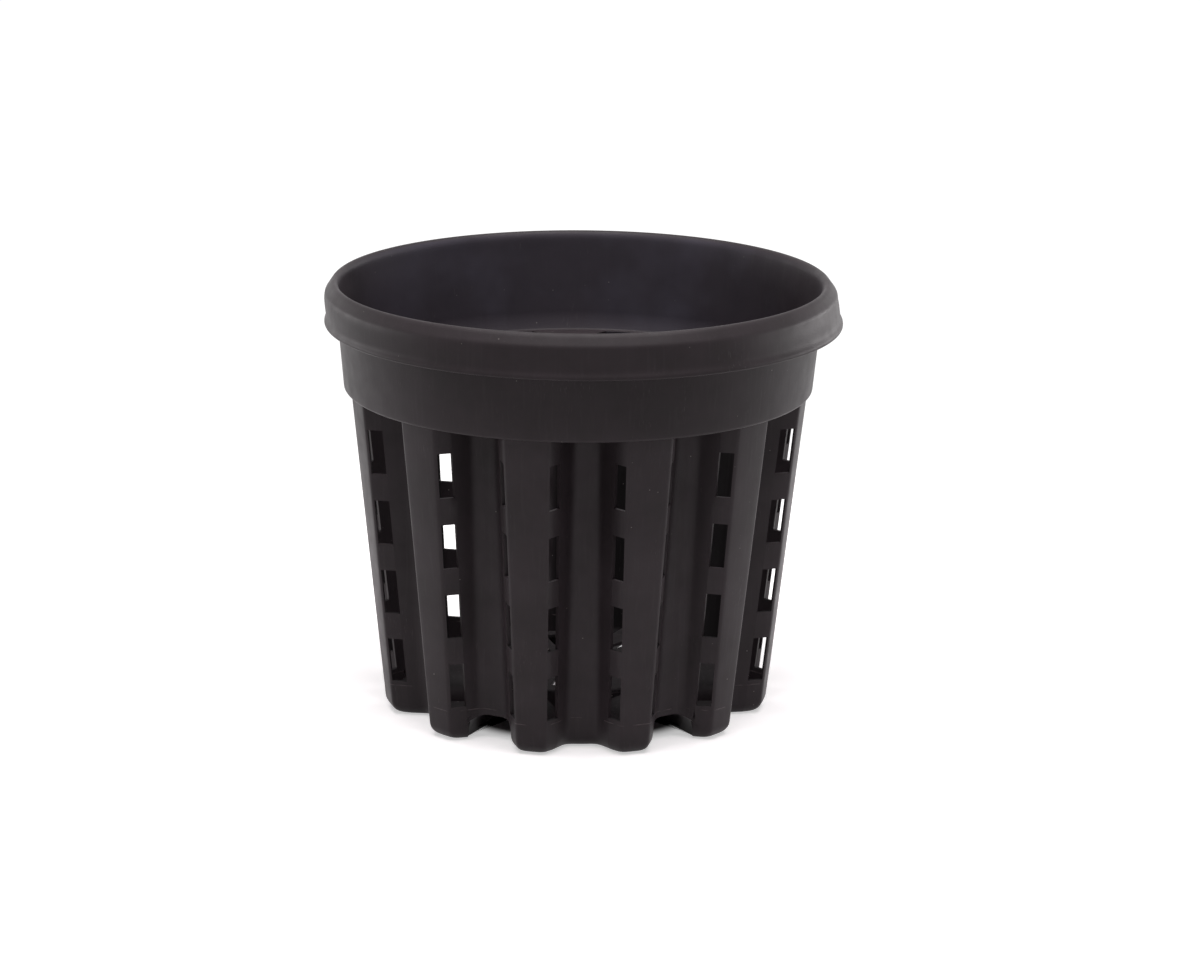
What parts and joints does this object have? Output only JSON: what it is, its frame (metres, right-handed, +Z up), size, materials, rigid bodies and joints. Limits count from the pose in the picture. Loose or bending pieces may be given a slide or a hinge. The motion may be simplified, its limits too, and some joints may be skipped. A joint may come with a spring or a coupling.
{
  "type": "slotted orchid pot",
  "caption": "Round tapered plant pot with a rolled rim, a plain collar, a deeply fluted wall pierced by upright air slots, and arched feet under a raised slotted floor.",
  "frame": {"origin": "centre of the ring of feet, on the ground plane that the pot stands on", "axes": "+Z up along the pot's axis; -Y is the front, where a valley between two lobes of one foot faces"},
  "size_m": [0.2186, 0.2186, 0.1839],
  "materials": {
    "pot_plastic": "satin injection-moulded polypropylene, black, carbon filled"
  },
  "bodies": {
    "root": {"rim_crown": "pot_plastic", "rim_skirt": "pot_plastic", "rim_lip": "pot_plastic", "collar_band": "pot_plastic", "shoulder_ledge": "pot_plastic", "wall_lobe_01": "pot_plastic", "wall_valley_01": "pot_plastic", "wall_lobe_02": "pot_plastic", "wall_valley_02": "pot_plastic", "wall_lobe_03": "pot_plastic", "wall_valley_03": "pot_plastic", "wall_lobe_04": "pot_plastic", "wall_valley_04": "pot_plastic", "wall_lobe_05": "pot_plastic", "wall_valley_05": "pot_plastic", "wall_lobe_06": "pot_plastic", "wall_valley_06": "pot_plastic", "wall_lobe_07": "pot_plastic", "wall_valley_07": "pot_plastic", "wall_lobe_08": "pot_plastic", "wall_valley_08": "pot_plastic", "wall_lobe_09": "pot_plastic", "wall_valley_09": "pot_plastic", "wall_lobe_10": "pot_plastic", "wall_valley_10": "pot_plastic", "wall_lobe_11": "pot_plastic", "wall_valley_11": "pot_plastic", "wall_lobe_12": "pot_plastic", "wall_valley_12": "pot_plastic", "base_foot_1": "pot_plastic", "drain_arch_1": "pot_plastic", "base_foot_2": "pot_plastic", "drain_arch_2": "pot_plastic", "base_foot_3": "pot_plastic", "drain_arch_3": "pot_plastic", "base_foot_4": "pot_plastic", "drain_arch_4": "pot_plastic", "base_foot_5": "pot_plastic", "drain_arch_5": "pot_plastic", "base_foot_6": "pot_plastic", "drain_arch_6": "pot_plastic", "floor_skirt": "pot_plastic", "floor_disc": "pot_plastic"}
  },
  "joints": []
}
